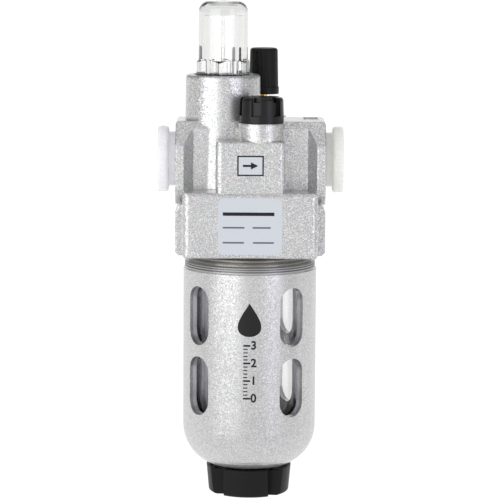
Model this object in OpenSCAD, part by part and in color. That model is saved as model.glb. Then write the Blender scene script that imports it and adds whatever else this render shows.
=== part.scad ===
// Air line lubricator: a die-cast head that carries the ports, a clear sight dome,
// a filler plug and a metering needle, over a clear oil bowl in a slotted metal guard.
// Origin: where the port axis (X) crosses the bowl axis (Z). +X is the air flow,
// -Y is the front and +Z is up. Millimetres.

/* [Head casting] */
// Width across the two port faces
port_span = 42; // [40:0.5:46]
// Thickness of a side flange at its outer edge
flange_t = 2.35; // [2:0.05:3]
// Front-to-back depth of the side flanges
flange_d = 28.2; // [27:0.2:30]
// Front-to-back depth of the waist between the flanges
waist_d = 19.2; // [18.4:0.2:20.4]
// Slope of the dovetail wall behind a flange, from the port face, in degrees
dovetail_deg = 30; // [20:1:40]
// Height of the head's top face over the port axis
head_top = 11.35; // [10.6:0.05:12]
// Front-to-back depth of the flat top face
top_flat_d = 15.6; // [14:0.2:17]
// Depth of the flanges' lower edge below the port axis
flange_drop = 11.75; // [11:0.05:12]
// Slope cut off the flanges' lower ends, in height and in depth
flange_heel = 4.35; // [3:0.05:5]
// Width of the lower block
block_w = 37.6; // [37:0.1:39]
// Depth of the lower block
block_d = 39; // [38:0.2:41]
// Depth of the lower block's upper edge below the port axis
block_top_drop = 7.65; // [7:0.05:8.5]
// Depth of the lower block's bottom below the port axis
block_drop = 26.05; // [25.5:0.05:27]
// Radius of the block's upright edges
block_r = 1.7; // [1:0.1:2.5]
// Radius of the cast edges
cast_r = 1; // [0.6:0.1:1.4]
// Width of the front and back bosses
boss_w = 19.3; // [18.5:0.1:21]
// How far a boss's face lies behind the block's face
boss_inset = 0.35; // [0.2:0.05:0.8]
// Height of the bosses over the port axis
boss_top = 6.55; // [6:0.05:7.5]
// Front-to-back depth of the side ribs
rib_d = 24; // [20:0.5:28]
// Gap between a flange's lower edge and the side rib
rib_gap = 2.1; // [1.5:0.1:2.6]
// Width of the shallow pocket in the head's top face, along the port axis
pocket_w = 4.1; // [3:0.1:4.5]
// Distance from the outlet's port face to the pocket
pocket_out = 1.95; // [1.5:0.05:2.4]
// Lip left before the pocket at the front
pocket_front = 4.2; // [3:0.1:6]
// Wall left behind the pocket
pocket_back = 0.4; // [0.3:0.05:1]
// Depth of the pocket
pocket_depth = 0.4; // [0.3:0.05:1]

/* [Ports] */
// Radius of a port's threaded wall
port_r = 5.7; // [5.2:0.05:6]
// Length of a port's threaded wall
port_thread_l = 10; // [8:0.5:11]
// Radius of the counterbore at a port's mouth
mouth_r = 7; // [6.6:0.05:7.6]
// Depth of the counterbore at a port's mouth
mouth_depth = 3; // [2.4:0.1:3.6]
// Radius of the air way between the ports and the middle of the head
airway_r = 4.6; // [4:0.1:5]

/* [Port caps] */
// Radius of a cap's grip rim
cap_rim_r = 9.3; // [8.6:0.05:10]
// Thickness of a cap's grip rim
cap_rim_t = 3; // [2.4:0.1:4]
// Radius of a cap's neck outside the port
cap_neck_r = 7.65; // [7.2:0.05:8]
// Length of a cap's neck outside the port
cap_neck_l = 2.15; // [1.8:0.05:3.2]
// Wall of a cap's hollow stem
cap_wall = 1.5; // [1:0.1:2]
// Grooves round a cap's rim
cap_grooves = 60; // [40:1:72]
// Depth of a groove in a cap's rim
cap_groove_depth = 0.15; // [0.1:0.01:0.25]

/* [Tower and sight dome] */
// Place of the tower's axis along the port axis
tower_x = -7.9; // [-8.2:0.1:-7]
// Place of the tower's axis front to back
tower_y = 0.4; // [0:0.1:0.8]
// Diameter of the tower at its top
tower_d = 21; // [20.4:0.1:21.4]
// Growth of the tower's diameter down to its foot
tower_draft = 0.6; // [0:0.1:0.8]
// Height of the tower's top over the port axis
tower_top = 24; // [22.5:0.1:26]
// Radius of the tower's upper edge
tower_edge_r = 0.7; // [0.4:0.1:1]
// Size across the flats of the dome's collar
hex_af = 14; // [13.4:0.1:14.4]
// Height of the collar over the tower
hex_h = 4.05; // [3.4:0.05:5]
// How far the collar sits down into the tower's recess
hex_sink = 0.25; // [0.1:0.05:0.4]
// Height of the dome's top over the tower
dome_h = 21; // [18:0.1:22]
// Wall of the sight dome
dome_wall = 3.4; // [2.8:0.1:3.7]
// Thickness of the dome's crown
crown_t = 4.5; // [4:0.1:5.5]
// Radius of the dome's upper edge
crown_r = 3; // [2:0.1:3.5]
// Length of the dome's threaded stem below its collar
dome_stem_l = 6.6; // [5.6:0.1:7]
// Section of the dome's sealing ring
dome_ring_d = 0.75; // [0.6:0.05:0.9]
// Radius of the drip nozzle's foot in the head
nozzle_r = 2.5; // [2.3:0.05:2.7]
// Radius of the drip cup inside the dome
cup_r = 2.1; // [1.9:0.05:2.4]
// Height of the drip cup's rim over the tower
cup_h = 4; // [3:0.1:5]
// Radius of the thin riser in the drip cup
riser_r = 0.6; // [0.55:0.05:0.85]
// Radius of the bore up the riser
riser_bore_r = 0.3; // [0.25:0.05:0.4]
// Gap between the riser's tip and the dome's crown
riser_gap = 1.1; // [0.6:0.1:2]

/* [Filler plug] */
// Place of the plug's axis along the port axis
plug_x = 3; // [2.8:0.1:4]
// Radius of the round boss under the plug and of the one under the needle
plug_boss_r = 6.5; // [6.3:0.05:6.6]
// Height of the two round bosses over the bosses below them
plug_boss_h = 4.9; // [4.4:0.1:5.4]
// Radius of the plug's head
plug_r = 6.2; // [5.9:0.05:6.3]
// Height of the plug's head
plug_h = 7.2; // [6.4:0.1:8]
// Height of the plain ring at the plug's foot
plug_ring_h = 2.1; // [1.6:0.1:2.6]
// Grip pockets round the plug
plug_pockets = 6; // [5:1:8]
// Width of a grip pocket
plug_pocket_w = 2.6; // [2:0.1:3]
// Depth of a grip pocket
plug_pocket_depth = 1.1; // [0.8:0.1:1.5]
// Radius of the plug's threaded stem
plug_stem_r = 4.5; // [4.2:0.05:4.6]
// Length of the plug's threaded stem
plug_stem_l = 6; // [5:0.1:6.5]
// Radius of the filling way down to the bowl
fill_way_r = 2; // [1.6:0.1:2.2]

/* [Needle valve] */
// Place of the needle's axis along the port axis
needle_x = 3.65; // [3.4:0.05:4.5]
// How far the needle's round boss lies inside the back boss's face
needle_inset = 0.65; // [0.5:0.05:0.9]
// Radius of the needle's brass stem
stem_r = 1; // [0.95:0.05:1.3]
// Radius of the needle knob at its top
knob_r = 3.95; // [3.6:0.05:4]
// Growth of the knob's radius down to its foot ring
knob_draft = 0.2; // [0:0.05:0.3]
// Radius of the knob's foot ring
knob_foot_r = 4.35; // [4.3:0.05:4.5]
// Height of the knob
knob_h = 13.1; // [11:0.1:14]
// Height of the knob's foot over the round boss
knob_lift = 6.3; // [5.6:0.1:7]
// Flutes round the knob
knob_flutes = 12; // [8:1:14]
// Depth of a flute
knob_flute_depth = 0.14; // [0.1:0.02:0.3]
// Radius of the gland's threaded body
gland_r = 3.15; // [3:0.05:3.4]
// Size across the flats of the gland's head
gland_af = 7; // [6.8:0.1:8]
// Height of the gland's head
gland_head_h = 2.2; // [1.6:0.1:3]
// Length of the gland inside the head
gland_l = 5.9; // [5.4:0.1:6.4]
// Radius of the oil way up to the needle
oil_way_r = 0.8; // [0.6:0.05:0.9]

/* [Neck and bowl] */
// Cover of the guard's thread over the neck, as a wall
neck_cover = 1.4; // [1.2:0.05:1.6]
// Length of the neck below the block
neck_l = 6.35; // [6:0.05:6.7]
// Depth of the relief at the neck's root
neck_relief = 0.45; // [0.3:0.05:0.6]
// Gap between the guard's wall and the bowl
bowl_gap = 0.6; // [0.4:0.05:0.8]
// Wall of the bowl
bowl_wall = 2.2; // [1.8:0.1:2.4]
// Step from the bowl's wall in to its spigot
spigot_step = 0.9; // [0.7:0.05:1.1]
// Height of the bowl's spigot over its flange
spigot_h = 7.4; // [6.5:0.1:8]
// Thickness of the bowl's flange
bowl_flange_t = 1.15; // [0.9:0.05:1.2]
// Section of the bowl's sealing ring
bowl_ring_d = 0.9; // [0.8:0.05:1]
// Radius of the drain boss under the bowl
drain_boss_r = 5.5; // [5:0.1:6]
// Length of the drain boss below the guard
drain_boss_l = 3.45; // [3:0.1:4]

/* [Bowl guard] */
// Outer diameter of the guard
guard_d = 37.8; // [37:0.1:39]
// Wall of the guard
guard_wall = 2.4; // [2.1:0.1:2.6]
// Gap between the head's block and the guard's rim
guard_gap = 2.45; // [2:0.05:3]
// Length of the guard from its rim to its bottom
guard_l = 59.55; // [58:0.05:66]
// Radius of the guard's rounded bottom
guard_corner_r = 12; // [10:0.5:12.5]
// Height of the ringed band under the guard's rim
band_h = 2; // [1.5:0.1:2.5]
// How far the band lies inside the guard's diameter, as a radius
band_step = 0.35; // [0.2:0.05:0.45]
// Width of a window in the guard
slot_w = 8.3; // [7:0.1:9]
// Length of a window, over its round ends
slot_l = 16.65; // [14:0.05:17.5]
// Height between the centres of the two rows of windows
slot_pitch = 20; // [18.5:0.1:21]
// Depth of the upper windows' top below the guard's rim
slot_drop = 6.3; // [6.25:0.05:6.8]
// Turn of the guard from its square place, in degrees
guard_turn = -5.3; // [-10:0.1:10]

/* [Drain] */
// Radius of the drain knob at its upper edge
drain_knob_r = 12.1; // [11.6:0.1:12.6]
// Draft of the drain knob, as a radius
drain_draft = 0.6; // [0:0.1:1]
// Height of the drain knob
drain_knob_h = 8.1; // [7.6:0.1:9]
// Width of an arm of the drain knob
drain_arm_w = 12.6; // [11:0.1:13.5]
// Overlap of the knob's rim with the guard's height
drain_overlap = 0.4; // [0.2:0.05:0.5]
// Turn of the drain knob from its square place, in degrees
drain_turn = -5; // [-10:0.1:10]
// Radius of the drain knob's lower edge
drain_edge_r = 1; // [0.6:0.1:1.4]
// Radius of the drain stem
drain_stem_r = 2.5; // [2.2:0.05:2.7]
// Section of the drain stem's sealing ring
drain_ring_d = 0.8; // [0.6:0.05:0.9]
// Radius of the way through the drain stem
drain_way_r = 0.9; // [0.7:0.05:1.1]

/* [Inner parts] */
// Radius of the damper holder in the head
holder_r = 7; // [6.8:0.05:7.4]
// Width and height of the air window in the holder
window_w = 8.6; // [8:0.1:8.8]
// Thickness of the damper
damper_t = 1; // [0.8:0.05:1.2]
// Radius of the damper's pin
damper_pin_r = 0.5; // [0.4:0.05:0.6]
// Radius of the holder's plate under the head's ceiling
plate_r = 9.4; // [8.9:0.1:9.4]
// Thickness of the holder's plate
plate_t = 2; // [1.7:0.1:2.4]
// Radius of the siphon tube
siphon_r = 2; // [1.8:0.05:2.2]
// Bore radius of the siphon tube
siphon_bore_r = 1; // [0.8:0.05:1.1]
// Distance of the siphon tube from the bowl axis
siphon_off = 7.5; // [6.5:0.1:8]
// Radius of the strainer at the siphon tube's foot
strainer_r = 2.9; // [2.7:0.05:3.2]
// Height of the strainer
strainer_h = 5.5; // [4.5:0.1:7]
// Gap between the strainer and the bowl's floor
strainer_gap = 2.35; // [2:0.05:3]
// Radius of the check ball
ball_r = 1.3; // [1.2:0.05:1.4]
// Lift of the check ball
ball_lift = 1; // [0.6:0.1:1.2]

/* [Labels] */
// Width of the name label
label_w = 17.9; // [16:0.1:19]
// Height of the name label
label_h = 15.85; // [13:0.05:16]
// Corner radius of the name label
label_r = 1.7; // [1:0.1:2]
// Thickness of the labels
label_t = 0.15; // [0.1:0.05:0.2]
// Width of the arrow label
arrow_w = 7.35; // [6:0.05:8]
// Height of the arrow label
arrow_h = 5.65; // [5:0.05:6]

/* [Clearances] */
// Radial clearance of a thread or a shaft in its hole
run_gap = 0.05; // [0.03:0.01:0.08]
// Clearance round a sealing ring
ring_gap = 0.03; // [0.02:0.01:0.04]
// Gap between parts that pass each other
free_gap = 0.3; // [0.25:0.05:0.35]

/* [Hidden] */
$fn = 72;
over = 1;

port_face = port_span / 2;
flange_in = port_face - flange_t;
waist_x = flange_in - (flange_d - waist_d) / 2 * tan(dovetail_deg);
block_y = block_d / 2;
boss_y = block_y - boss_inset;
block_base = -block_drop;
rib_slope = 1.1;

mouth_floor = port_face - mouth_depth;
port_floor = mouth_floor - port_thread_l;

round_boss_top = boss_top + plug_boss_h;
plug_y = -(boss_y - plug_boss_r);
fill_way_in = plug_stem_r - fill_way_r - 1;
plug_foot = round_boss_top - plug_stem_l;
plug_groove_h = 0.85;
plug_groove_d = 1.1;

dome_r = hex_af / 2 - run_gap;
hex_base = tower_top - hex_sink;
recess_r = hex_af / 2 / cos(30) + free_gap;
recess_floor = hex_base - dome_ring_d - 2 * ring_gap;
dome_foot = hex_base - dome_stem_l;
dome_top = tower_top + dome_h;
dome_bore_r = dome_r - dome_wall;
ceiling_z = dome_top - crown_t;
tower_floor = dome_foot - free_gap;
nozzle_foot = airway_r + 4.4;
nozzle_way_z = nozzle_foot + 2.5;
nozzle_way_r = oil_way_r - 0.2;
collar_turn = 22.5;

neck_r = guard_d / 2 - neck_cover - run_gap;
neck_end = block_base - neck_l;
guard_top = block_base - guard_gap;
guard_r = guard_d / 2;
guard_in = guard_r - guard_wall;
guard_base = guard_top - guard_l;
guard_floor = guard_base + guard_wall;
corner_x = guard_r - guard_corner_r;
corner_z = guard_base + guard_corner_r;
bowl_r = guard_in - bowl_gap;
bowl_in = bowl_r - bowl_wall;
bowl_base = guard_floor + bowl_gap;
bowl_floor = bowl_base + bowl_wall;
spigot_r = bowl_r - spigot_step;
bowl_flange_top = neck_end - bowl_ring_d - 2 * ring_gap;
bowl_flange_base = bowl_flange_top - bowl_flange_t;
ledge_z = bowl_flange_base - run_gap;
bowl_flange_r = neck_r - run_gap;
spigot_top = bowl_flange_top + spigot_h;
cavity_r = spigot_r + run_gap;
ceiling_in = -block_top_drop - 6.35;
inner_cavity_r = spigot_r - 0.5;

knob_top = guard_base + drain_overlap;
knob_base = knob_top - drain_knob_h;
drain_boss_end = guard_base - drain_boss_l;
drain_bore_top = bowl_base + 0.55;
drain_recess_z = guard_base - free_gap - 0.15;
drain_recess_r = corner_x + sqrt(pow(guard_corner_r, 2) - pow(corner_z - knob_top - free_gap, 2));
drain_ring_z = drain_boss_end + 2.2;
drain_valve_r = 1.2;

needle_y = boss_y - needle_inset - plug_boss_r;
needle_foot = round_boss_top - gland_l;
needle_seat = needle_foot - 2;
needle_ring_d = 0.8;
needle_ring_z = needle_foot + 1.2;
needle_travel = 2;
needle_knob_base = round_boss_top + knob_lift;
chamber_r = stem_r + 0.4;
gland_ring_bore = stem_r + 0.5;
stem_top = needle_knob_base + knob_h / 2;
needle_len = norm([needle_x, needle_y]);
siphon_x = siphon_off * needle_x / needle_len;
siphon_y = siphon_off * needle_y / needle_len;

window_h = window_w / 2;
holder_top = window_h + 1.15;
damper_x = -2;
damper_eye_r = damper_pin_r + 0.45;
damper_z = window_h - damper_eye_r - 0.25;
damper_foot = -window_h + free_gap;
plate_base = ceiling_in - plate_t;
pin_past = 1.5;
socket_l = 6;
socket_base = plate_base - socket_l;
ball_seat_z = plate_base - 2.9;
ball_z = ball_seat_z + sqrt(ball_r * ball_r - siphon_bore_r * siphon_bore_r) + 0.02;
ball_room_top = ball_z + ball_r + ball_lift + 0.05;
strainer_base = bowl_floor + strainer_gap;
strainer_top = strainer_base + strainer_h;
tube_foot = strainer_base + 1.5;

function arc(cx, cy, r, a0, a1, n = 8) =
    [for (i = [0:n]) [cx + r * cos(a0 + (a1 - a0) * i / n), cy + r * sin(a0 + (a1 - a0) * i / n)]];

// A rectangle with true round corners, centred
module round_rect(w, d, r) {
    square([w - 2 * r, d], center = true);
    square([w, d - 2 * r], center = true);
    for (sx = [-1, 1], sy = [-1, 1])
        translate([sx * (w / 2 - r), sy * (d / 2 - r)]) circle(r);
}

// A centred block between two heights, with round upright edges and round lower and upper edges
module soft_block(w, d, z0, z1, plan_r, edge_r) {
    mid = (z0 + z1) / 2;
    intersection() {
        translate([0, 0, z0]) linear_extrude(z1 - z0) round_rect(w, d, plan_r);
        translate([0, d, mid]) rotate([90, 0, 0]) linear_extrude(2 * d) round_rect(w, z1 - z0, edge_r);
        translate([-w, 0, mid]) rotate([90, 0, 90]) linear_extrude(2 * w) round_rect(d, z1 - z0, edge_r);
    }
}

// A round bar between two points
module bar(p, q, r) {
    v = q - p;
    l = norm(v);
    translate(p) rotate([0, acos(v[2] / l), atan2(v[1], v[0])]) cylinder(h = l, r = r);
}

// An upright cylinder between two heights
module post(x, y, r, z0, z1) {
    translate([x, y, z0]) cylinder(h = z1 - z0, r = r);
}

// A sealing ring of round section
module ring(x, y, z, centre_r, section_d) {
    translate([x, y, z]) rotate_extrude() translate([centre_r, 0]) circle(d = section_d, $fn = 32);
}

// The middle of the head, with its dovetail flanges and their sloped upper and lower ends
module head_middle() {
    fy = flange_d / 2;
    wy = waist_d / 2;
    ty = top_flat_d / 2;
    slope_z = head_top - (fy - ty);
    heel_y = fy - flange_heel;
    height = head_top + flange_drop;
    half = [[waist_x, wy], [flange_in, fy], [port_face, fy],
            [port_face, -fy], [flange_in, -fy], [waist_x, -wy]];
    intersection() {
        translate([0, 0, -flange_drop]) linear_extrude(height)
            polygon(concat(half, [for (p = half) -p]));
        translate([-port_face - over, 0, 0]) rotate([90, 0, 90]) linear_extrude(port_span + 2 * over)
            polygon([[-heel_y, -flange_drop], [heel_y, -flange_drop], [fy, flange_heel - flange_drop],
                     [fy, slope_z], [ty, head_top], [-ty, head_top], [-fy, slope_z],
                     [-fy, flange_heel - flange_drop]]);
        // Only the upper corners are round, as the outline's lower ones lie below the flanges
        translate([0, fy + over, (head_top - flange_drop - cast_r) / 2]) rotate([90, 0, 0])
            linear_extrude(flange_d + 2 * over) round_rect(port_span, height + cast_r, cast_r);
    }
}

// The ribs below the flanges, out to the port faces
module side_ribs() {
    top = -flange_drop - rib_gap;
    in = port_face - rib_slope;
    translate([0, rib_d / 2, 0]) rotate([90, 0, 0]) linear_extrude(rib_d)
        polygon([[-port_face + cast_r, block_base], [port_face - cast_r, block_base],
                 [port_face, block_base + cast_r], [port_face, top], [in, top + 2 * rib_slope],
                 [-in, top + 2 * rib_slope], [-port_face, top], [-port_face, block_base + cast_r]]);
}

module tower() {
    top_r = tower_d / 2;
    foot_r = top_r + tower_draft / 2;
    translate([tower_x, tower_y, 0]) rotate_extrude()
        polygon(concat([[0, -block_top_drop - cast_r], [foot_r, -block_top_drop - cast_r]],
                       arc(top_r - tower_edge_r, tower_top - tower_edge_r, tower_edge_r, 0, 90, 5),
                       [[0, tower_top]]));
}

module head_form() {
    head_middle();
    side_ribs();
    soft_block(block_w, block_d, block_base, -block_top_drop, block_r, cast_r);
    soft_block(boss_w, 2 * boss_y, -block_top_drop - 3 * cast_r, boss_top, block_r, cast_r / 2);
    tower();
    post(plug_x, plug_y, plug_boss_r, 0, round_boss_top);
    post(needle_x, needle_y, plug_boss_r, 0, round_boss_top);
    post(0, 0, neck_r, neck_end, block_base + over);
}

module port(side) {
    rotate([0, side * 90, 0]) {
        translate([0, 0, mouth_floor]) cylinder(h = mouth_depth + over, r = mouth_r);
        translate([0, 0, port_floor]) cylinder(h = port_thread_l + over, r = port_r);
        cylinder(h = port_floor + over, r = airway_r);
    }
}

module head_bores() {
    port(-1);
    port(1);
    // Down to the bowl: the damper holder's bore, the ceiling and the spigot's seat
    post(0, 0, holder_r, ceiling_in - over, holder_top);
    post(0, 0, inner_cavity_r, neck_end - over, ceiling_in);
    post(0, 0, cavity_r, neck_end - over, spigot_top + free_gap);
    // The tower: recess for the collar, thread, nozzle seat and drip way
    post(tower_x, tower_y, recess_r, recess_floor, tower_top + over);
    post(tower_x, tower_y, dome_r + run_gap, tower_floor, tower_top + over);
    post(tower_x, tower_y, nozzle_r, nozzle_foot, tower_floor + over);
    post(tower_x, tower_y, nozzle_r - 0.6, 0, nozzle_foot + over);
    // The filling way
    post(plug_x, plug_y, plug_stem_r + run_gap, plug_foot - free_gap, round_boss_top + over);
    post(plug_x, plug_y + fill_way_in, fill_way_r, ceiling_in - over, plug_foot);
    // Room beside the tower for the plug's head as it screws out
    post(plug_x, plug_y, plug_r + run_gap, round_boss_top, tower_top + over);
    // The needle: gland thread, chamber, seat and oil way
    post(needle_x, needle_y, gland_r, needle_foot, round_boss_top + over);
    post(needle_x, needle_y, chamber_r, needle_seat, needle_foot + over);
    post(needle_x, needle_y, oil_way_r, ceiling_in - over, needle_seat + over);
    bar([needle_x, needle_y, needle_seat + 1], [tower_x, tower_y, nozzle_way_z], nozzle_way_r);
    // The neck's relief at its root, where the thread runs out
    difference() {
        post(0, 0, neck_r + over, guard_top + 1, block_base);
        post(0, 0, neck_r - neck_relief, guard_top, block_base + over);
    }
    // The shallow pocket in the top face
    translate([port_face - pocket_out - pocket_w, pocket_front - top_flat_d / 2, head_top - pocket_depth])
        cube([pocket_w, top_flat_d - pocket_front - pocket_back, pocket_depth + over]);
}

module body() {
    color("lightgrey") difference() {
        head_form();
        head_bores();
    }
}

module plate_on(z, y, w, h, r) {
    translate([0, y, z]) rotate([90, 0, 0]) linear_extrude(label_t) round_rect(w, h, r);
}

module name_label() {
    z = (block_base - block_top_drop) / 2;
    color("lightsteelblue") plate_on(z, -block_y, label_w, label_h, label_r);
}

module arrow_label() {
    color("aliceblue") plate_on(0, -boss_y, arrow_w, arrow_h, 0.3);
}

// The foot carries a cup that catches the drops, round a thin riser that lets them fall
module drip_nozzle() {
    tip = ceiling_z - riser_gap;
    cup_top = tower_top + cup_h;
    cup_floor = tower_floor + 2;
    cup_wall = 0.55;
    way_x = 1.3;
    way_r = 0.3;
    color("whitesmoke") translate([tower_x, tower_y, 0]) difference() {
        union() {
            post(0, 0, nozzle_r, nozzle_foot, tower_floor);
            post(0, 0, dome_bore_r - free_gap, tower_floor, tower_floor + 1);
            post(0, 0, cup_r, tower_floor, cup_top);
            post(0, 0, riser_r, tower_floor, tip);
        }
        difference() {
            post(0, 0, cup_r - cup_wall, cup_floor, cup_top + over);
            post(0, 0, riser_r, tower_floor, tip);
        }
        post(0, 0, riser_bore_r, nozzle_foot + 1.5, tip + over);
        bar([0, 0, nozzle_way_z], [needle_x - tower_x, needle_y - tower_y, nozzle_way_z], nozzle_way_r);
        for (side = [-1, 1])
            post(side * way_x, 0, way_r, nozzle_foot - over, cup_floor + over);
    }
}

module hexagon(af, h) {
    cylinder(h = h, r = af / 2 / cos(30), $fn = 6);
}

module sight_dome() {
    crown_rise = 0.35;
    collar_top = tower_top + hex_h;
    collar_bevel = 0.9;
    color("lightcyan") translate([tower_x, tower_y, 0]) difference() {
        union() {
            rotate_extrude() polygon(concat([[0, dome_foot], [dome_r, dome_foot]],
                arc(dome_r - crown_r, dome_top - crown_rise - crown_r, crown_r, 0, 80, 8),
                [[0, dome_top]]));
            intersection() {
                translate([0, 0, hex_base]) rotate([0, 0, collar_turn]) hexagon(hex_af, hex_h + hex_sink);
                rotate_extrude() polygon([[0, hex_base], [recess_r, hex_base],
                    [recess_r, collar_top - collar_bevel], [dome_r + 0.2, collar_top], [0, collar_top]]);
            }
        }
        post(0, 0, dome_bore_r, dome_foot - over, ceiling_z);
    }
}

module dome_seal() {
    color("black") ring(tower_x, tower_y, recess_floor + ring_gap + dome_ring_d / 2,
        dome_r + run_gap + dome_ring_d / 2, dome_ring_d);
}

// Six lobes on a plain ring, over a threaded stem
module filler_plug() {
    top = round_boss_top + plug_h;
    edge = 1;
    color("dimgrey") translate([plug_x, plug_y, 0]) difference() {
        union() {
            rotate_extrude() polygon(concat([[0, round_boss_top], [plug_r, round_boss_top],
                [plug_r, round_boss_top + plug_ring_h]],
                arc(plug_r - 0.15 - edge, top - edge, edge, 0, 75, 6), [[0, top + 0.1]]));
            post(0, 0, plug_stem_r, plug_foot, round_boss_top + over);
        }
        for (i = [0:plug_pockets - 1]) rotate([0, 0, -105 + i * 360 / plug_pockets]) {
            translate([plug_r - plug_pocket_depth, -plug_pocket_w / 2, round_boss_top + plug_ring_h])
                cube([plug_pocket_depth + over, plug_pocket_w, plug_h]);
            translate([plug_r - 2.6, -plug_pocket_w / 3, top - 1.3])
                cube([2.6 + over, plug_pocket_w / 1.5, 2]);
        }
        // Groove for the sealing ring
        difference() {
            post(0, 0, plug_stem_r + plug_groove_d, round_boss_top - over, round_boss_top + plug_groove_h);
            post(0, 0, plug_stem_r, 0, top);
        }
    }
}

module filler_seal() {
    section = plug_groove_h - 2 * ring_gap;
    color("black") ring(plug_x, plug_y, round_boss_top + plug_groove_h / 2,
        plug_stem_r + plug_groove_d / 2, section);
}

module needle_gland() {
    color("goldenrod") translate([needle_x, needle_y, 0]) difference() {
        union() {
            post(0, 0, gland_r, needle_foot, round_boss_top);
            translate([0, 0, round_boss_top]) hexagon(gland_af, gland_head_h);
        }
        post(0, 0, stem_r + run_gap, needle_foot - over, round_boss_top + gland_head_h + over);
        post(0, 0, gland_ring_bore, needle_foot - over, needle_ring_z + needle_travel + 1);
    }
}

module needle_seal() {
    color("black") ring(needle_x, needle_y, needle_ring_z,
        gland_ring_bore - ring_gap - needle_ring_d / 2, needle_ring_d);
}

// A brass stem with a ring groove and a tapered tip that meters the oil
module needle_stem() {
    core_r = gland_ring_bore - 2 * ring_gap - needle_ring_d;
    groove = needle_ring_d / 2 + ring_gap;
    color("goldenrod") translate([needle_x, needle_y, 0]) rotate_extrude()
        polygon([[0, needle_seat - 0.7], [0.25, needle_seat - 0.7], [oil_way_r + 0.15, needle_seat + 0.35],
                 [oil_way_r + 0.15, needle_ring_z - groove - 0.6], [stem_r, needle_ring_z - groove - 0.6],
                 [stem_r, needle_ring_z - groove], [core_r, needle_ring_z - groove],
                 [core_r, needle_ring_z + groove], [stem_r, needle_ring_z + groove],
                 [stem_r, stem_top], [0, stem_top]]);
}

module needle_knob() {
    top = needle_knob_base + knob_h;
    foot_top = needle_knob_base + 2;
    edge = 0.8;
    flute_r = 0.55;
    flute_x = knob_r + flute_r - knob_flute_depth;
    color("dimgrey") translate([needle_x, needle_y, 0]) difference() {
        rotate_extrude() polygon(concat([[0, needle_knob_base], [knob_foot_r, needle_knob_base],
            [knob_foot_r, foot_top], [knob_r + knob_draft, foot_top]],
            arc(knob_r - edge, top - edge, edge, 0, 85, 6), [[0, top]]));
        post(0, 0, stem_r, needle_knob_base - over, stem_top);
        for (i = [0:knob_flutes - 1]) rotate([0, 0, (i + 0.5) * 360 / knob_flutes])
            bar([flute_x + knob_draft, 0, foot_top + 0.1], [flute_x, 0, top], flute_r);
    }
}

// A plug in the head with the air window, and a plate with the siphon's socket
module damper_holder() {
    color("ivory") difference() {
        union() {
            post(0, 0, holder_r, ceiling_in, holder_top);
            post(0, 0, plate_r, plate_base, ceiling_in);
            // Arm that brings the oil out to the way up to the needle
            intersection() {
                post(0, 0, inner_cavity_r - free_gap, plate_base, ceiling_in);
                rotate([0, 0, atan2(needle_y, needle_x)]) translate([0, -2.4, plate_base])
                    cube([inner_cavity_r, 4.8, plate_t]);
            }
            post(siphon_x, siphon_y, siphon_r + 1.2, socket_base, ceiling_in);
        }
        translate([-holder_r - over, -window_h, -window_h])
            cube([2 * (holder_r + over), window_w, window_w]);
        // Holes for the damper's pin
        translate([damper_x, window_h + pin_past, damper_z]) rotate([90, 0, 0])
            cylinder(h = window_w + 2 * pin_past, r = damper_pin_r);
        // The siphon's socket, the ball's room and the groove out to the needle's way
        post(siphon_x, siphon_y, siphon_r, socket_base - over, ball_seat_z);
        post(siphon_x, siphon_y, ball_r + 0.15, ball_seat_z - over, ball_room_top);
        post(siphon_x, siphon_y, 0.6, ball_room_top - over, ceiling_in - 0.6);
        bar([siphon_x, siphon_y, ceiling_in - 0.9], [needle_x, needle_y, ceiling_in - 0.9], 0.5);
        post(needle_x, needle_y, oil_way_r, ceiling_in - 1.1, ceiling_in + over);
    }
}

module damper_pin() {
    color("silver") translate([damper_x, window_h + pin_past, damper_z]) rotate([90, 0, 0])
        cylinder(h = window_w + 2 * pin_past, r = damper_pin_r);
}

module damper() {
    w = window_w - 2 * free_gap;
    color("darkorange") difference() {
        union() {
            translate([damper_x, w / 2, damper_z]) rotate([90, 0, 0]) cylinder(h = w, r = damper_eye_r);
            translate([damper_x - damper_t / 2, -w / 2, damper_foot])
                cube([damper_t, w, damper_z - damper_foot]);
        }
        translate([damper_x, w, damper_z]) rotate([90, 0, 0])
            cylinder(h = 2 * w, r = damper_pin_r + run_gap);
    }
}

module siphon_tube() {
    color("white") difference() {
        post(siphon_x, siphon_y, siphon_r, tube_foot, ball_seat_z);
        post(siphon_x, siphon_y, siphon_bore_r, strainer_base, ball_seat_z + over);
    }
}

module siphon_strainer() {
    grooves = 4;
    color("peru") difference() {
        post(siphon_x, siphon_y, strainer_r, strainer_base, strainer_top);
        post(siphon_x, siphon_y, siphon_r, tube_foot, strainer_top + over);
        for (i = [0:grooves - 1])
            ring(siphon_x, siphon_y, strainer_base + (i + 1) * strainer_h / (grooves + 1), strainer_r, 0.5);
    }
}

module check_ball() {
    color("silver") translate([siphon_x, siphon_y, ball_z]) sphere(ball_r);
}

// A clear cup with a flange that the guard lifts against the neck
module bowl() {
    outer_c = bowl_r - corner_x;
    inner_c = bowl_in - corner_x;
    color("lightcyan", 0.5) difference() {
        union() {
            rotate_extrude() polygon(concat([[0, bowl_base]],
                arc(corner_x, corner_z, outer_c, -90, 0, 8),
                [[bowl_r, bowl_flange_base], [bowl_flange_r, bowl_flange_base],
                 [bowl_flange_r, bowl_flange_top], [spigot_r, bowl_flange_top],
                 [spigot_r, spigot_top - 0.6], [spigot_r - 0.6, spigot_top], [0, spigot_top]]));
            post(0, 0, drain_boss_r, drain_boss_end, bowl_base + over);
        }
        rotate_extrude() polygon(concat([[0, bowl_floor]], arc(corner_x, corner_z, inner_c, -90, 0, 8),
            [[bowl_in, spigot_top + over], [0, spigot_top + over]]));
        post(0, 0, drain_stem_r + run_gap, drain_boss_end - over, drain_bore_top);
        post(0, 0, drain_valve_r, drain_boss_end, bowl_floor + over);
    }
}

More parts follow.
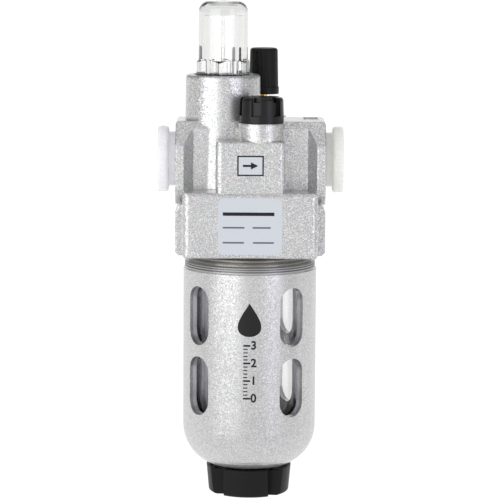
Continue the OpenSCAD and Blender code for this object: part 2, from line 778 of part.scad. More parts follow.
module bowl_seal() {
    color("black") ring(0, 0, bowl_flange_top + ring_gap + bowl_ring_d / 2,
        spigot_r + ring_gap + bowl_ring_d / 2, bowl_ring_d);
}

module guard_window(z) {
    c = (slot_l - slot_w) / 2;
    translate([0, 0, z]) rotate([90, 0, 0]) {
        for (s = [-1, 1]) translate([0, s * c, 0]) cylinder(h = guard_r + over, d = slot_w);
        translate([-slot_w / 2, -c, 0]) cube([slot_w, 2 * c, guard_r + over]);
    }
}

// A cast cup with a thread at its rim, a ringed band, two rows of windows and a hole for the drain
module bowl_guard() {
    rows = [guard_top - slot_drop - slot_l / 2, guard_top - slot_drop - slot_l / 2 - slot_pitch];
    outer_c = guard_r - corner_x;
    inner_c = guard_in - corner_x;
    thread_r = neck_r + run_gap;
    band_r = guard_r - band_step;
    color("silver") rotate([0, 0, guard_turn]) difference() {
        rotate_extrude() polygon(concat([[0, guard_base]], arc(corner_x, corner_z, outer_c, -90, 0, 12),
            [[guard_r, guard_top - band_h - 0.3], [band_r, guard_top - band_h], [band_r, guard_top - 0.4],
             [band_r - 0.4, guard_top], [0, guard_top]]));
        rotate_extrude() polygon(concat([[0, guard_floor]], arc(corner_x, corner_z, inner_c, -90, 0, 12),
            [[guard_in, ledge_z], [thread_r, ledge_z],
             [thread_r, guard_top + over], [0, guard_top + over]]));
        post(0, 0, drain_boss_r + 2 * free_gap, guard_base - over, guard_floor + over);
        for (z = rows, a = [-45, 45, 135, 225]) rotate([0, 0, a]) guard_window(z);
        for (i = [1, 2]) difference() {
            post(0, 0, band_r + over, guard_top - i * band_h / 3 - 0.15, guard_top - i * band_h / 3 + 0.1);
            post(0, 0, band_r - 0.25, guard_top - band_h, guard_top);
        }
    }
}

// Stem that shuts the way out of the bowl with its tapered tip, drilled for the outlet
module drain_stem() {
    groove = drain_ring_d / 2 + ring_gap;
    core_r = drain_stem_r - drain_ring_d - ring_gap;
    tip = drain_bore_top - run_gap;
    color("goldenrod") difference() {
        rotate_extrude() polygon([[0, knob_base + 0.6], [drain_stem_r, knob_base + 0.6],
            [drain_stem_r, drain_ring_z - groove], [core_r, drain_ring_z - groove],
            [core_r, drain_ring_z + groove], [drain_stem_r, drain_ring_z + groove],
            [drain_stem_r, drain_ring_z + 3 * groove], [drain_stem_r - 0.5, drain_ring_z + 3 * groove],
            [drain_stem_r - 0.5, tip - 1.2], [drain_valve_r + 0.2, tip], [0, tip]]);
        post(0, 0, drain_way_r, knob_base, tip - 2.2);
        translate([-drain_stem_r - over, 0, tip - 2.4]) rotate([0, 90, 0])
            cylinder(h = 2 * (drain_stem_r + over), r = drain_way_r * 0.7);
    }
}

module drain_seal() {
    color("black") ring(0, 0, drain_ring_z,
        drain_stem_r + run_gap - ring_gap - drain_ring_d / 2, drain_ring_d);
}

// Four broad arms under the guard, with a threaded socket over the bowl's drain boss
module drain_knob() {
    notch = drain_arm_w / 2;
    color("dimgrey") rotate([0, 0, drain_turn]) difference() {
        rotate_extrude() polygon(concat([[0, knob_base]],
            arc(drain_knob_r - drain_draft - drain_edge_r, knob_base + drain_edge_r,
                drain_edge_r, -90, 0, 6),
            [[drain_knob_r, knob_top - 0.3], [drain_knob_r - 0.3, knob_top], [0, knob_top]]));
        for (a = [0:90:270]) rotate([0, 0, a])
            translate([notch, notch, knob_base - over])
                cube([drain_knob_r, drain_knob_r, drain_knob_h + 2 * over]);
        post(0, 0, drain_recess_r, drain_recess_z, knob_top + over);
        post(0, 0, drain_boss_r + run_gap, drain_boss_end - 0.5, knob_top + over);
        post(0, 0, drain_stem_r, knob_base + 0.6, knob_top);
        post(0, 0, drain_way_r, knob_base - over, knob_top);
    }
}

// A moulded cap: hollow stem in the port's mouth, neck, and a grooved rim to grip
module port_cap() {
    stem_end = mouth_floor + free_gap;
    rim_in = port_face + cap_neck_l;
    rim_out = rim_in + cap_rim_t;
    stem_out = mouth_r - run_gap;
    edge = 0.8;
    cap_face_t = 1.6;
    clear = 0.1;
    rotate([0, 90, 0]) difference() {
        rotate_extrude() polygon(concat([[0, stem_end], [stem_out, stem_end], [stem_out, port_face],
            [cap_neck_r, port_face], [cap_neck_r, rim_in]],
            arc(cap_rim_r - edge, rim_in + edge, edge, -90, 0, 5),
            [[cap_rim_r, rim_out - 0.3], [cap_rim_r - 0.3, rim_out], [0, rim_out]]));
        translate([0, 0, stem_end - over])
            cylinder(h = rim_out - cap_face_t - stem_end + over, r = stem_out - cap_wall);
        for (i = [0:cap_grooves - 1]) rotate([0, 0, i * 360 / cap_grooves])
            translate([cap_rim_r + clear, 0, rim_in + edge + clear])
                cylinder(h = cap_rim_t, r = cap_groove_depth + clear, $fn = 4);
    }
}

module outlet_cap() {
    color("honeydew") port_cap();
}

module inlet_cap() {
    color("ghostwhite") rotate([0, 0, 180]) port_cap();
}

body();
name_label();
arrow_label();
drip_nozzle();
needle_gland();
damper_holder();
damper_pin();
damper();
siphon_tube();
siphon_strainer();
check_ball();
dome_seal();
sight_dome();
filler_seal();
filler_plug();
needle_seal();
needle_stem();
needle_knob();
bowl();
bowl_seal();
bowl_guard();
drain_seal();
drain_stem();
drain_knob();
inlet_cap();
outlet_cap();
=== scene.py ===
"""Looks of a small air line lubricator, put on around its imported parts.

Everything is in metres in the part's own frame: X along the air flow, -Y to the front, Z up.
After the camera and the studio, the file follows the unit as it is put together: head, labels,
drip dome, filler plug, needle valve, inner parts, bowl, guard, drain and port caps."""

import math

import bpy
import numpy as np
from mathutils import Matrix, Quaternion, Vector


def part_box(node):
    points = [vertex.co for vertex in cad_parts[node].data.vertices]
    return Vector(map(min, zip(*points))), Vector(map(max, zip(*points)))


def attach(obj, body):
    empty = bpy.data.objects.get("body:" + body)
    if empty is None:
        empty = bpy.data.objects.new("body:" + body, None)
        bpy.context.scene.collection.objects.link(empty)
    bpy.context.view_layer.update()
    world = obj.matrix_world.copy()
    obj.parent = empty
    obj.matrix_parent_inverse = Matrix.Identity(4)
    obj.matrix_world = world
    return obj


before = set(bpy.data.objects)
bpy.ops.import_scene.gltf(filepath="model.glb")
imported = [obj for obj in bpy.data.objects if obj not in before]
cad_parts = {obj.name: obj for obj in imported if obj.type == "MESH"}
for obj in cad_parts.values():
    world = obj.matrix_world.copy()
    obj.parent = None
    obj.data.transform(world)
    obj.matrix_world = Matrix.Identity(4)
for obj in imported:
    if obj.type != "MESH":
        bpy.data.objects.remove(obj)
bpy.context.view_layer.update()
MM = 0.001

# Camera
# A long lens 750 mm in front of the bowl axis, looking down a little, and turned by a third
# of a degree, so that the unit leans right as it does in the picture.
AIM = Vector((0, 0, -26.05 * MM))
CAMERA_DISTANCE = 750 * MM
CAMERA_PITCH = math.radians(7.7)
CAMERA_ROLL = math.radians(0.36)
# Both of these are in millimetres, as Blender counts them
LENS = 189.5
SENSOR = 36

camera_data = bpy.data.cameras.new("camera")
camera_data.lens = LENS
camera_data.sensor_width = SENSOR
camera = bpy.data.objects.new("camera", camera_data)
bpy.context.scene.collection.objects.link(camera)
camera.location = AIM + CAMERA_DISTANCE * Vector((0, -math.cos(CAMERA_PITCH), math.sin(CAMERA_PITCH)))
camera.rotation_mode = "QUATERNION"
straight = (AIM - camera.location).to_track_quat("-Z", "Y")
camera.rotation_quaternion = straight @ Quaternion((0, 0, 1), CAMERA_ROLL)
bpy.context.scene.camera = camera

# Studio
# A glowing white floor under a room that is bright behind and greyer on the camera's side. A
# broad soft box stands at the front left, and a narrower, weaker and cooler one at the front right.
WHITE = (1, 1, 1)
COOL = (0.87, 0.85, 1)
# Light of the room in front, at the sides, behind and overhead
ROOM_FRONT = 0.62
ROOM_SIDE = 0.27
ROOM_BACK = 1.3
CEILING = (0.8, 0.8, 0.8, 1)
# The share of straight up at which the ceiling begins, and where it is full
CEILING_FROM = 0.7
CEILING_FULL = 0.95
FLOOR_Z = -0.135
FLOOR_HALF = 9.0
FLOOR_GREY = (0.25, 0.25, 0.25, 1)
# The floor's glow: its strength, the Y of its front and back ends, and its shares between them
FLOOR_GLOW = 0.88
GLOW_FRONT_Y = -1.2
GLOW_BACK_Y = 0.05
GLOW_FRONT = 1.15
GLOW_DIP = 0.64
GLOW_BACK = 1.0


def add(tree, kind, sockets=None, **settings):
    """A new shader node. Sockets maps an input to its value, or to the output that feeds it."""
    made = tree.nodes.new(kind)
    for name, value in settings.items():
        setattr(made, name, value)
    for name, value in (sockets or {}).items():
        if isinstance(value, bpy.types.NodeSocket):
            tree.links.new(value, made.inputs[name])
        else:
            made.inputs[name].default_value = value
    return made


def ramp(tree, value, stops):
    """A colour ramp over value, through pairs of a place and a grey or a colour."""
    made = add(tree, "ShaderNodeValToRGB", {0: value})
    elements = made.color_ramp.elements
    while len(elements) < len(stops):
        elements.new(0.5)
    for element, (place, colour) in zip(elements, stops):
        element.position = place
        element.color = (*colour, 1) if isinstance(colour, tuple) else (colour, colour, colour, 1)
    return made.outputs[0]


def axis(tree, vector, name):
    """One part of a vector: X, Y or Z."""
    return add(tree, "ShaderNodeSeparateXYZ", {0: vector}).outputs[name]


def rescale(tree, value, low, high, new_low=0.0, new_high=1.0, curve="LINEAR"):
    """A value that runs from low to high, made to run from new low to new high."""
    sockets = {0: value, 1: low, 2: high, 3: new_low, 4: new_high}
    return add(tree, "ShaderNodeMapRange", sockets, interpolation_type=curve).outputs[0]


def mix(tree, share, under, over):
    """A colour that goes from under to over with a share."""
    return add(tree, "ShaderNodeMix", {0: share, 6: under, 7: over}, data_type="RGBA").outputs[2]


def finish(name):
    """A new material, with its tree, its shader and its object coordinates."""
    made = bpy.data.materials.new(name)
    made.use_nodes = True
    tree = made.node_tree
    coords = add(tree, "ShaderNodeTexCoord").outputs["Object"]
    return made, tree, tree.nodes["Principled BSDF"], coords


def soft_box(name, azimuth, height, distance, size, watts, colour):
    """A soft light aimed at the bowl. Its azimuth is in degrees from the front towards +X."""
    data = bpy.data.lights.new(name, "AREA")
    data.shape = "RECTANGLE"
    data.size, data.size_y = size
    data.energy = watts
    data.color = colour
    made = bpy.data.objects.new(name, data)
    bpy.context.scene.collection.objects.link(made)
    angle = math.radians(azimuth)
    made.location = (distance * math.sin(angle), -distance * math.cos(angle), height)
    made.rotation_mode = "QUATERNION"
    made.rotation_quaternion = (AIM - made.location).to_track_quat("-Z", "Y")


soft_box("key", azimuth=-39, height=0.1, distance=1.1, size=(1.0, 1.3), watts=8.6, colour=WHITE)
soft_box("fill", azimuth=42, height=0.05, distance=1.1, size=(0.45, 1.2), watts=3.2, colour=COOL)

world = bpy.data.worlds.new("room")
bpy.context.scene.world = world
world.use_nodes = True
sky = world.node_tree
ray = add(sky, "ShaderNodeTexCoord").outputs["Generated"]
# From the room's front, at 0, to its back, at 1
depth = rescale(sky, axis(sky, ray, "Y"), -1.0, 1.0)
wall = ramp(sky, depth, [(0.05, ROOM_FRONT), (0.35, ROOM_SIDE), (0.9, ROOM_SIDE), (0.98, ROOM_BACK)])
overhead = rescale(sky, axis(sky, ray, "Z"), CEILING_FROM, CEILING_FULL, curve="SMOOTHSTEP")
sky.links.new(mix(sky, overhead, wall, CEILING), sky.nodes["Background"].inputs["Color"])

floor_mesh = bpy.data.meshes.new("floor")
floor_mesh.from_pydata(
    [(x * FLOOR_HALF, y * FLOOR_HALF, FLOOR_Z) for x, y in ((-1, -1), (1, -1), (1, 1), (-1, 1))],
    [],
    [(0, 1, 2, 3)],
)
floor = bpy.data.objects.new("floor", floor_mesh)
bpy.context.scene.collection.objects.link(floor)
floor_paint, floor_tree, floor_shader, floor_coords = finish("floor")
reach = rescale(floor_tree, axis(floor_tree, floor_coords, "Y"), GLOW_FRONT_Y, GLOW_BACK_Y)
glow = ramp(floor_tree, reach, [(0, GLOW_FRONT), (0.6, GLOW_DIP), (0.75, GLOW_DIP), (1, GLOW_BACK)])
floor_tree.links.new(glow, floor_shader.inputs["Emission Color"])
floor_shader.inputs["Base Color"].default_value = FLOOR_GREY
floor_shader.inputs["Roughness"].default_value = 1.0
floor_shader.inputs["Emission Strength"].default_value = FLOOR_GLOW
floor_mesh.materials.append(floor_paint)
bpy.context.scene.view_settings.view_transform = "Standard"

# Head
# Die-cast aluminium under a silver lacquer. Its metal flakes sparkle, so every cell of a fine
# Voronoi pattern tilts and lightens like one flake, and the cast edges look softly round.
HEAD_GREY = 0.63
HEAD_SPARKLE = 1.0
HEAD_EDGE = 0.7 * MM
FLAKE = 0.22 * MM
# How far a flake leans and drifts in colour, and how much its shade leaves the mean grey
FLAKE_TILT = 0.2
FLAKE_TINT = 0.1
FLAKE_DULL = 0.36
FLAKE_PLAIN = 0.1
FLAKE_BRIGHT = 0.5
LACQUER_METALLIC = 0.8
LACQUER_ROUGHNESS = 0.3
# The neck under the block is turned and left bare, and its tone is darkened as painted shade under the
# block: its top and foot, counted from the guard's rim, the height of the painted shadow line at its root,
# and the pitch of its thread
GUARD_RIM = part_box("bowl_guard")[1][2]
NECK_TOP = GUARD_RIM + 2.4 * MM
NECK_FOOT = GUARD_RIM - 11.5 * MM
ROOT_SHADOW_H = 0.65 * MM
NECK_PITCH = 1.05 * MM
# Tones of the neck's grooves and crests: bare metal, darkened as painted shade under the block
NECK_GROOVE_SHADE = (0.13, 0.125, 0.11)
NECK_METAL_AND_SHADE = (0.3, 0.29, 0.27)
# Tones of the painted shadow line at the neck's root, where the block shades it
ROOT_SHADOW_LOW = (0.02, 0.02, 0.02)
ROOT_SHADOW_HIGH = (0.05, 0.05, 0.045)


def vector_maths(tree, operation, *values):
    """The result of an operation on vectors."""
    return add(tree, "ShaderNodeVectorMath", dict(enumerate(values)), operation=operation).outputs[0]


def maths(tree, operation, *values):
    """The result of an operation on numbers."""
    return add(tree, "ShaderNodeMath", dict(enumerate(values)), operation=operation).outputs[0]


def silver_lacquer(name, grey, sparkle, edge_radius):
    """Silver flake lacquer of a mean grey, with a share of the full sparkle and softly round edges.

    A flake's random colour, less a half, leans its normal and tints its tone. The red in it picks
    the shade, from dull over plain to bright."""
    made, tree, shader, coords = finish(name)
    flakes = add(tree, "ShaderNodeTexVoronoi", {"Vector": coords, "Scale": 1 / FLAKE})
    random = vector_maths(tree, "SUBTRACT", flakes.outputs["Color"], (0.5, 0.5, 0.5))
    edge = add(tree, "ShaderNodeBevel", {"Radius": edge_radius}, samples=6)
    lean = (FLAKE_TILT * sparkle,) * 3
    bent = vector_maths(tree, "MULTIPLY_ADD", random, lean, edge.outputs[0])
    tree.links.new(vector_maths(tree, "NORMALIZE", bent), shader.inputs["Normal"])
    dull = 1 - FLAKE_DULL * sparkle
    plain_shade = 1 + FLAKE_PLAIN * sparkle
    bright = 1 + FLAKE_BRIGHT * sparkle
    red = add(tree, "ShaderNodeSeparateColor", {0: flakes.outputs["Color"]}).outputs[0]
    tone = ramp(tree, red, [(0, grey * dull), (0.75, grey * plain_shade), (1, grey * bright)])
    tint = (FLAKE_TINT * sparkle,) * 3
    tree.links.new(vector_maths(tree, "MULTIPLY_ADD", random, tint, tone), shader.inputs["Base Color"])
    shader.inputs["Metallic"].default_value = LACQUER_METALLIC
    shader.inputs["Roughness"].default_value = LACQUER_ROUGHNESS
    return made


def bared(paint, overlay_mask, shown_colour):
    """Shows a colour in place of the lacquer wherever the mask is 1: bare metal, painted shade and painted
    light.
    """
    tree = paint.node_tree
    colour = tree.nodes["Principled BSDF"].inputs["Base Color"]
    tree.links.new(mix(tree, overlay_mask, colour.links[0].from_socket, shown_colour), colour)


def turned_band(paint, top, foot, pitch, groove_shade, shown_colour):
    """Shows a ringed band between two heights: the tone is a cosine of the height, with the grooves
    darkened as painted shade.
    """
    tree = paint.node_tree
    height = axis(tree, add(tree, "ShaderNodeTexCoord").outputs["Object"], "Z")
    swing = maths(tree, "COSINE", maths(tree, "MULTIPLY", height, 2 * math.pi / pitch))
    tone = ramp(tree, rescale(tree, swing, -1.0, 1.0), [(0.15, groove_shade), (0.85, shown_colour)])
    below = maths(tree, "LESS_THAN", height, top)
    above = maths(tree, "GREATER_THAN", height, foot)
    bared(paint, maths(tree, "MULTIPLY", below, above), tone)


def dress(paint, *nodes):
    """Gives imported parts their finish."""
    for node in nodes:
        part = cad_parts[node]
        part.data.materials.clear()
        part.data.materials.append(paint)


head_paint = silver_lacquer("head_lacquer", HEAD_GREY, HEAD_SPARKLE, HEAD_EDGE)
# The bare turned neck, darkened all over as painted shade under the block, with its grooves darkened as
# painted shade
turned_band(head_paint, NECK_TOP, NECK_FOOT, NECK_PITCH, NECK_GROOVE_SHADE, NECK_METAL_AND_SHADE)
# A painted shadow line at the neck's root, just under the block
turned_band(head_paint, NECK_TOP, NECK_TOP - ROOT_SHADOW_H, NECK_PITCH, ROOT_SHADOW_LOW, ROOT_SHADOW_HIGH)
dress(head_paint, "body")

# Labels
# Thin plastic films, printed and stuck on the head's front: a pale name label with three rows of
# plain rules, and a small label with a black frame round the arrow of the air flow.
LABEL_COLOUR = (0.6, 0.63, 0.67)
INK = (0.008, 0.008, 0.009)
GREY_INK = (0.12, 0.13, 0.15)
FIBRE_SHADE = 0.97
PRINT_T = 0.02 * MM
FRAME_LINE = 0.4 * MM
ARROW_L = 4.2 * MM
ARROW_SHAFT = 0.6 * MM
ARROW_HEAD = 2.0 * MM
ARROW_POINT = 0.02 * MM


def noise(tree, coords, scale, detail):
    """The value of a noise whose scale is its cells to the metre."""
    return add(tree, "ShaderNodeTexNoise", {"Vector": coords, "Scale": scale, "Detail": detail}).outputs[0]


def drift(tree, value, low, high, shader):
    """Lets the shader's colour drift from a low tone to a high one, over the middle of a noise."""
    tree.links.new(ramp(tree, value, [(0.3, low), (0.7, high)]), shader.inputs["Base Color"])


def film(name, colour, roughness):
    """Satin printed film or ink, with a faint fibre in its tone."""
    made, tree, shader, coords = finish(name)
    dark = tuple(FIBRE_SHADE * part for part in colour)
    drift(tree, noise(tree, coords, scale=3000.0, detail=2.0), dark, colour, shader)
    shader.inputs["Roughness"].default_value = roughness
    shader.inputs["Specular IOR Level"].default_value = 0.3
    return made


def print_mesh(name, mesh, paint, thickness):
    """A thin print on the outer side of a flat or bent mesh."""
    mesh.materials.clear()
    mesh.materials.append(paint)
    made = bpy.data.objects.new(name, mesh)
    bpy.context.scene.collection.objects.link(made)
    wall = made.modifiers.new("thickness", "SOLIDIFY")
    wall.thickness = thickness
    wall.offset = 1
    return made


def sheet_mesh(name, points, paint, thickness):
    """A thin sheet over a grid of points (rows, columns, 3) that faces along columns x rows."""
    rows, columns = points.shape[:2]
    index = np.arange(rows * columns).reshape(rows, columns)
    corners = [index[:-1, :-1], index[:-1, 1:], index[1:, 1:], index[1:, :-1]]
    quads = np.stack(corners, axis=-1).reshape(-1, 4)
    mesh = bpy.data.meshes.new(name)
    mesh.from_pydata(points.reshape(-1, 3).tolist(), [], quads.tolist())
    return print_mesh(name, mesh, paint, thickness)


def rule(x, z, width, height, front):
    """The four corners of an upright rule on a flat front, as a grid of 2 by 2 points."""
    across = x + np.array([-0.5, 0.5]) * width
    upward = z + np.array([-0.5, 0.5]) * height
    grid_z, grid_x = np.meshgrid(upward, across, indexing="ij")
    return np.stack([grid_x, np.full_like(grid_x, front), grid_z], axis=-1)


def printed(name, points, colour):
    """A print on the head's labels."""
    made = sheet_mesh(name, points, colour, PRINT_T)
    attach(made, "head")


dress(film("label_film", LABEL_COLOUR, roughness=0.35), "name_label", "arrow_label")
ink = film("black_ink", INK, roughness=0.4)
grey_ink = film("grey_ink", GREY_INK, roughness=0.4)

low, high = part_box("name_label")
label_mid = (low[2] + high[2]) / 2
# Rows of the name label in millimetres: height over its middle, thickness and ends of the rules
ROWS = [
    (3.45, 0.95, [(-7.6, 6.7)], ink),
    (-0.35, 0.45, [(-7.6, -1.6), (0.7, 5.7)], grey_ink),
    (-4.55, 0.45, [(-7.6, -1.7), (0.8, 6.6)], grey_ink),
]
for number, (rise, thick, spans, colour) in enumerate(ROWS):
    for side, (left, right) in enumerate(spans):
        middle = (left + right) / 2 * MM
        place = rule(middle, label_mid + rise * MM, (right - left) * MM, thick * MM, low[1])
        printed(f"label_rule_{number}_{side}", place, colour)

low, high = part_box("arrow_label")
width, height = high[0] - low[0], high[2] - low[2]
middle_x, middle_z = (low[0] + high[0]) / 2, (low[2] + high[2]) / 2
for side, sign in (("left", -1), ("right", 1)):
    upright = rule(middle_x + sign * (width - FRAME_LINE) / 2, middle_z, FRAME_LINE, height, low[1])
    printed(f"arrow_frame_{side}", upright, ink)
for side, sign in (("lower", -1), ("upper", 1)):
    level = middle_z + sign * (height - FRAME_LINE) / 2
    printed(f"arrow_frame_{side}", rule(middle_x, level, width - 2 * FRAME_LINE, FRAME_LINE, low[1]), ink)

# The arrow is a strip whose half width is given at its tail, its neck, its barbs and its point.
neck, point = ARROW_L / 2 - ARROW_HEAD, ARROW_L / 2
along = middle_x + np.array([-point, neck, neck + ARROW_POINT, point])
half = np.array([ARROW_SHAFT / 2, ARROW_SHAFT / 2, ARROW_HEAD / 2, ARROW_POINT / 2])
upward = np.array([[-1.0], [1.0]])
arrow = np.stack([along + 0 * upward, low[1] + 0 * upward * along, middle_z + upward * half], axis=-1)
printed("flow_arrow", arrow, ink)

# Drip dome
# The sight dome, through which the falling drops are counted, and the drip nozzle inside it.
# Both are moulded in clear plastic. The dome's threaded stem screws down into the head's tower.
DOME_TINT = (0.5, 0.52, 0.48)


def clear_plastic(name, tint, density, roughness):
    """Clear moulded plastic that takes a tint as it gets thicker, and flows a little unevenly."""
    made, tree, shader, coords = finish(name)
    flow = noise(tree, coords, scale=350.0, detail=2.0)
    uneven = rescale(tree, flow, 0.3, 0.7, new_low=roughness * 0.5, new_high=roughness * 1.5)
    tree.links.new(uneven, shader.inputs["Roughness"])
    shader.inputs["Base Color"].default_value = (1, 1, 1, 1)
    shader.inputs["IOR"].default_value = 1.58
    shader.inputs["Transmission Weight"].default_value = 1.0
    inside = add(tree, "ShaderNodeVolumeAbsorption", {"Color": (*tint, 1), "Density": density})
    tree.links.new(inside.outputs[0], tree.nodes["Material Output"].inputs["Volume"])
    return made


dress(clear_plastic("dome_clear", DOME_TINT, density=45.0, roughness=0.01), "sight_dome")
dress(clear_plastic("nozzle_clear", DOME_TINT, density=30.0, roughness=0.05), "drip_nozzle")

# Filler plug
# A black nylon moulding with six lobes, polished by its mould, that screws into the front round
# boss. Its plastic is also that of the two knobs, which are spark-eroded to a matt grain.
NYLON_GREY = 0.006
NYLON_EDGE = 0.25 * MM


def black_nylon(name, roughness, grain_depth, shine):
    """Black moulded nylon with a fine grain of the given depth."""
    made, tree, shader, coords = finish(name)
    grain = noise(tree, coords, scale=5200.0, detail=2.0)
    edge = add(tree, "ShaderNodeBevel", {"Radius": NYLON_EDGE}, samples=4).outputs[0]
    bump = add(tree, "ShaderNodeBump", {"Distance": grain_depth, "Height": grain, "Normal": edge})
    tree.links.new(bump.outputs[0], shader.inputs["Normal"])
    drift(tree, grain, NYLON_GREY * 0.7, NYLON_GREY * 1.3, shader)
    shader.inputs["Roughness"].default_value = roughness
    shader.inputs["Specular IOR Level"].default_value = shine
    return made


dress(black_nylon("plug_nylon", roughness=0.3, grain_depth=0.01 * MM, shine=0.3), "filler_plug")

# Needle valve
# A tapered needle on a brass stem, in a brass gland that is screwed into the rear round boss.
# Both are turned, and the black moulded knob is pressed on the stem.
BRASS = (0.8, 0.5, 0.15)


def plain(name, colour, metallic, roughness, spread, scale):
    """A plain finish whose tone drifts by a share, over a noise of the given scale."""
    made, tree, shader, coords = finish(name)
    low = tuple(part * (1 - spread) for part in colour)
    high = tuple(min(1.0, part * (1 + spread)) for part in colour)
    drift(tree, noise(tree, coords, scale, detail=3.0), low, high, shader)
    shader.inputs["Metallic"].default_value = metallic
    shader.inputs["Roughness"].default_value = roughness
    return made


knob_nylon = black_nylon("knob_nylon", roughness=0.42, grain_depth=0.03 * MM, shine=0.2)
dress(knob_nylon, "needle_knob")
turned_brass = plain("turned_brass", BRASS, metallic=1.0, roughness=0.3, spread=0.06, scale=900.0)
dress(turned_brass, "needle_stem", "needle_gland")

# Inner parts
# Rings of nitrile rubber in their seats, a ground steel pin and check ball, the damper, its
# holder and the siphon tube moulded in natural plastic, and a strainer of sintered bronze.
RUBBER = (0.02, 0.02, 0.02)
STEEL = (0.6, 0.6, 0.6)
NATURAL = (0.72, 0.71, 0.66)
BRONZE = (0.4, 0.24, 0.1)

dress(
    plain("nitrile_rubber", RUBBER, metallic=0.0, roughness=0.6, spread=0.2, scale=2000.0),
    "dome_seal", "filler_seal", "needle_seal", "bowl_seal", "drain_seal",
)
dress(
    plain("ground_steel", STEEL, metallic=1.0, roughness=0.25, spread=0.05, scale=2000.0),
    "damper_pin", "check_ball",
)
dress(
    plain("natural_plastic", NATURAL, metallic=0.0, roughness=0.45, spread=0.03, scale=600.0),
    "damper_holder", "damper", "siphon_tube",
)
dress(
    plain("sintered_bronze", BRONZE, metallic=0.8, roughness=0.6, spread=0.35, scale=2500.0),
    "siphon_strainer",
)

# Bowl
# A clear moulded cup for the oil, seen through the guard's windows. The guard lifts its flange
# against the head's neck, over a sealing ring.
BOWL_TINT = (0.5, 0.52, 0.5)

dress(clear_plastic("bowl_clear", BOWL_TINT, density=60.0, roughness=0.03), "bowl")

# Bowl guard
# A die-cast cup under the same lacquer as the head, screwed on the neck, with a turned band at its rim
# whose grooves are darkened as painted shade, and a bore painted light for the light that comes in through
# the windows. A drop of oil and a plain level scale are printed on its front.
GUARD_GREY = 0.61
GUARD_SPARKLE = 0.6
GUARD_EDGE = 0.2 * MM
# The ringed band under the rim, and how far it is taken over the rim; its grooves are darkened as painted
# shade
BAND_H = 2.0 * MM
BAND_OVER = 0.02 * MM
BAND_PITCH = 0.66 * MM
BAND_GROOVE_SHADE = (0.2, 0.2, 0.2)
BAND_METAL = (0.46, 0.46, 0.46)
# The bore, painted near white as light that comes in through the windows, is what lies inside a radius in
# the middle of the wall, above the rounded bottom
BORE_R = 17.8 * MM
BORE_FOOT = GUARD_RIM - 48.5 * MM
# The painted light colour of the guard's bore
BORE_PAINTED_LIGHT = (0.93, 0.92, 0.98)
INK_T = 0.04 * MM
DROP_Z = GUARD_RIM - 14.7 * MM
DROP_H = 9.6 * MM
DROP_W = 6.6 * MM
DROP_ROWS = 48
DROP_COLUMNS = 13
# Angles left off at the drop's tip and at its foot, in radians
DROP_TIP = 0.1
DROP_FOOT = 0.01
SCALE_TOP = GUARD_RIM - 22 * MM
SCALE_STEP = 1.0 * MM
SCALE_MARKS = 16
SCALE_X = -1.7 * MM
# Every fifth mark is long and has a numeral. A mark is its width and its thickness.
LONG_EACH = 5
LONG_MARK = (2.0 * MM, 0.5 * MM)
SHORT_MARK = (1.2 * MM, 0.32 * MM)
NUMERAL_X = 1.2 * MM
NUMERAL_SIZE = 3.3 * MM
NUMERAL_WEIGHT = 0.09 * MM
# The guard's radius, found by looking at its front from 1 m away
guard_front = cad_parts["bowl_guard"].ray_cast(Vector((0, -1, SCALE_TOP)), Vector((0, 1, 0)))[1]
GUARD_R = -guard_front.y


def bare_bore(paint, radius, foot, shown_colour):
    """Paints light on the guard's inside: a near-white colour nearer to the bowl axis than a radius, above
    a height.
    """
    tree = paint.node_tree
    coords = add(tree, "ShaderNodeTexCoord").outputs["Object"]
    flat = vector_maths(tree, "MULTIPLY", coords, (1, 1, 0))
    from_axis = add(tree, "ShaderNodeVectorMath", {0: flat}, operation="LENGTH").outputs["Value"]
    near = maths(tree, "LESS_THAN", from_axis, radius)
    above = maths(tree, "GREATER_THAN", axis(tree, coords, "Z"), foot)
    bared(paint, maths(tree, "MULTIPLY", near, above), (*shown_colour, 1))


def wrapped(points):
    """Flat points (x, any, z) bent round the guard: x is the length of arc from the front line."""
    turn = points[..., 0] / GUARD_R
    return np.stack([GUARD_R * np.sin(turn), -GUARD_R * np.cos(turn), points[..., 2]], axis=-1)


def guard_print(made):
    """A print that stays on the guard."""
    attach(made, "guard")


def numeral(number, x, z):
    """A plain numeral, made a mesh while it is flat and then bent round the guard."""
    shape = bpy.data.curves.new("numeral", "FONT")
    shape.body = str(number)
    shape.size = NUMERAL_SIZE
    shape.offset = NUMERAL_WEIGHT
    shape.align_x = "CENTER"
    shape.align_y = "CENTER"
    holder = bpy.data.objects.new("numeral", shape)
    bpy.context.scene.collection.objects.link(holder)
    mesh = bpy.data.meshes.new_from_object(holder.evaluated_get(bpy.context.evaluated_depsgraph_get()))
    bpy.data.objects.remove(holder)
    flat = np.empty(3 * len(mesh.vertices), dtype=np.float32)
    mesh.vertices.foreach_get("co", flat)
    flat = flat.reshape(-1, 3)
    placed = wrapped(np.stack([flat[:, 0] + x, 0 * flat[:, 0], flat[:, 1] + z], axis=-1))
    mesh.vertices.foreach_set("co", placed.astype(np.float32).ravel())
    mesh.update()
    guard_print(print_mesh(f"level_number_{number}", mesh, ink, INK_T))


guard_paint = silver_lacquer("guard_lacquer", GUARD_GREY, GUARD_SPARKLE, GUARD_EDGE)
# The turned band under the rim, its grooves darkened as painted shade
turned_band(guard_paint, GUARD_RIM + BAND_OVER, GUARD_RIM - BAND_H, BAND_PITCH, BAND_GROOVE_SHADE, BAND_METAL)
# The bore is painted light, for the light that comes in through the windows
bare_bore(guard_paint, BORE_R, BORE_FOOT, BORE_PAINTED_LIGHT)
dress(guard_paint, "bowl_guard")

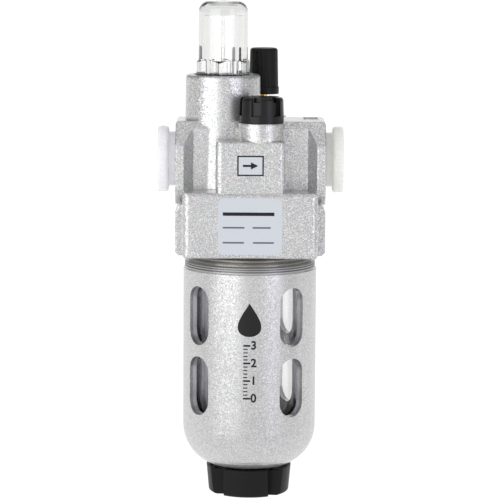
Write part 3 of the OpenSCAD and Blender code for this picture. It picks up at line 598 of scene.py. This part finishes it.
# The drop's outline is x = sin(a) sin(a/2)^1.5, z = cos(a), with a from its tip to its foot.
sweep = np.linspace(DROP_TIP, math.pi - DROP_FOOT, DROP_ROWS)[:, None]
across = np.linspace(-1, 1, DROP_COLUMNS)[None, :]
belly = np.sin(sweep) * np.sin(sweep / 2) ** 1.5
drop_x = across * belly / belly.max() * DROP_W / 2
drop_z = DROP_Z + np.cos(sweep) * DROP_H / 2 + 0 * across
drop = np.stack([drop_x, 0 * drop_x, drop_z], axis=-1)
guard_print(sheet_mesh("oil_drop", wrapped(drop[::-1]), ink, INK_T))

for number in range(SCALE_MARKS):
    height = SCALE_TOP - number * SCALE_STEP
    long = number % LONG_EACH == 0
    width, thick = LONG_MARK if long else SHORT_MARK
    mark = wrapped(rule(SCALE_X + width / 2, height, width, thick, 0))
    guard_print(sheet_mesh(f"level_mark_{number}", mark, ink, INK_T))
    if long:
        numeral((SCALE_MARKS - 1 - number) // LONG_EACH, NUMERAL_X, height)

# Drain
# Under the guard, a black moulded knob with four arms screws on the bowl's drain boss. Fixed in
# it is a turned brass stem, whose tip shuts the way out of the bowl.
dress(knob_nylon, "drain_knob")
dress(turned_brass, "drain_stem")

# Port caps
# Shipping caps that keep dirt out of the ports, pushed into their mouths. They are moulded in
# translucent white plastic, and the outlet's is a little yellower than the inlet's.
INLET_WHITE = (0.8, 0.8, 0.83)
OUTLET_WHITE = (0.81, 0.82, 0.77)
CAP_SHADE = 0.95
CAP_EDGE = 0.12 * MM
CAP_ROUGHNESS = 0.42
# How far light spreads in the plastic, and the painted glow that stands for the light that comes through
# the wall
CAP_SPREAD = 4.0 * MM
CAP_GLOW = 0.12


def cap_plastic(name, colour):
    """Translucent white moulded plastic: light spreads a few millimetres inside its wall, and a faint
    painted glow stands for the light that comes through it.
    """
    made, tree, shader, coords = finish(name)
    dark = tuple(CAP_SHADE * part for part in colour)
    drift(tree, noise(tree, coords, scale=420.0, detail=3.0), dark, colour, shader)
    shader.inputs["Roughness"].default_value = CAP_ROUGHNESS
    shader.inputs["Subsurface Weight"].default_value = 1.0
    shader.inputs["Subsurface Radius"].default_value = (1.0, 1.0, 1.0)
    shader.inputs["Subsurface Scale"].default_value = CAP_SPREAD
    shader.inputs["Emission Color"].default_value = (*colour, 1)
    shader.inputs["Emission Strength"].default_value = CAP_GLOW
    edge = add(tree, "ShaderNodeBevel", {"Radius": CAP_EDGE}, samples=4).outputs[0]
    tree.links.new(edge, shader.inputs["Normal"])
    return made


dress(cap_plastic("inlet_cap_plastic", INLET_WHITE), "inlet_cap")
dress(cap_plastic("outlet_cap_plastic", OUTLET_WHITE), "outlet_cap")
